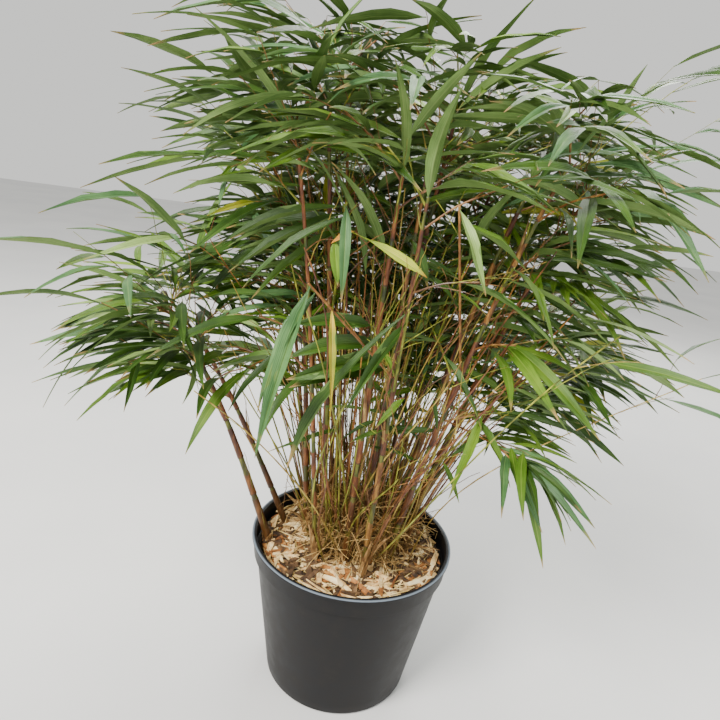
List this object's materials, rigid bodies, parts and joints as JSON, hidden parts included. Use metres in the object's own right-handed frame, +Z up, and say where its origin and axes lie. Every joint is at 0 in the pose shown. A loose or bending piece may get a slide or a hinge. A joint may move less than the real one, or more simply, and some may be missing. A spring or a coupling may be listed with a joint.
{
  "type": "potted clumping bamboo plant",
  "caption": "Clump of slender bamboo culms with long narrow leaves in a round black nursery pot, topped with wood-chip mulch.",
  "frame": {"origin": "centre of the pot's flat underside", "axes": "+Z up; -Y is the side seen first in the picture"},
  "size_m": [0.8654, 0.6488, 0.9053],
  "materials": {
    "pot": "black, satin",
    "soil": "loose wood chips and straw on potting soil",
    "culm": "smooth, red-brown sheaths over green",
    "shoot": "dry, matt",
    "foliage": "satin leaf"
  },
  "bodies": {
    "root": {"pot": "pot", "mulched_soil": "soil", "culm_01": "culm", "culm_02": "culm", "culm_03": "culm", "culm_04": "culm", "culm_05": "culm", "culm_06": "culm", "culm_07": "culm", "culm_08": "culm", "culm_09": "culm", "culm_10": "culm", "culm_11": "culm", "culm_12": "culm", "culm_13": "culm", "culm_14": "culm", "culm_15": "culm", "culm_16": "culm", "culm_17": "culm", "culm_18": "culm", "culm_19": "culm", "culm_20": "culm", "thin_shoots_1": "shoot", "thin_shoots_2": "shoot", "thin_shoots_3": "shoot", "thin_shoots_4": "shoot", "front_spray_01": "foliage", "front_spray_02": "foliage", "front_spray_03": "foliage", "front_spray_04": "foliage", "front_spray_05": "foliage", "front_spray_06": "foliage", "front_spray_07": "foliage", "front_spray_08": "foliage", "front_spray_09": "foliage", "side_spray_01": "foliage", "side_spray_02": "foliage", "side_spray_03": "foliage", "side_spray_04": "foliage", "side_spray_05": "foliage", "leafy_top_01": "foliage", "leafy_top_02": "foliage", "leafy_top_03": "foliage", "leafy_top_04": "foliage", "leafy_top_05": "foliage", "leafy_top_06": "foliage", "leafy_top_07": "foliage", "leafy_top_08": "foliage", "leafy_top_09": "foliage", "leafy_top_10": "foliage", "leafy_top_11": "foliage", "leafy_top_12": "foliage", "leafy_top_13": "foliage", "leafy_top_14": "foliage", "leafy_top_15": "foliage", "leafy_top_16": "foliage", "leafy_top_17": "foliage", "leafy_top_18": "foliage", "leafy_top_19": "foliage", "leafy_top_20": "foliage"}
  },
  "joints": []
}
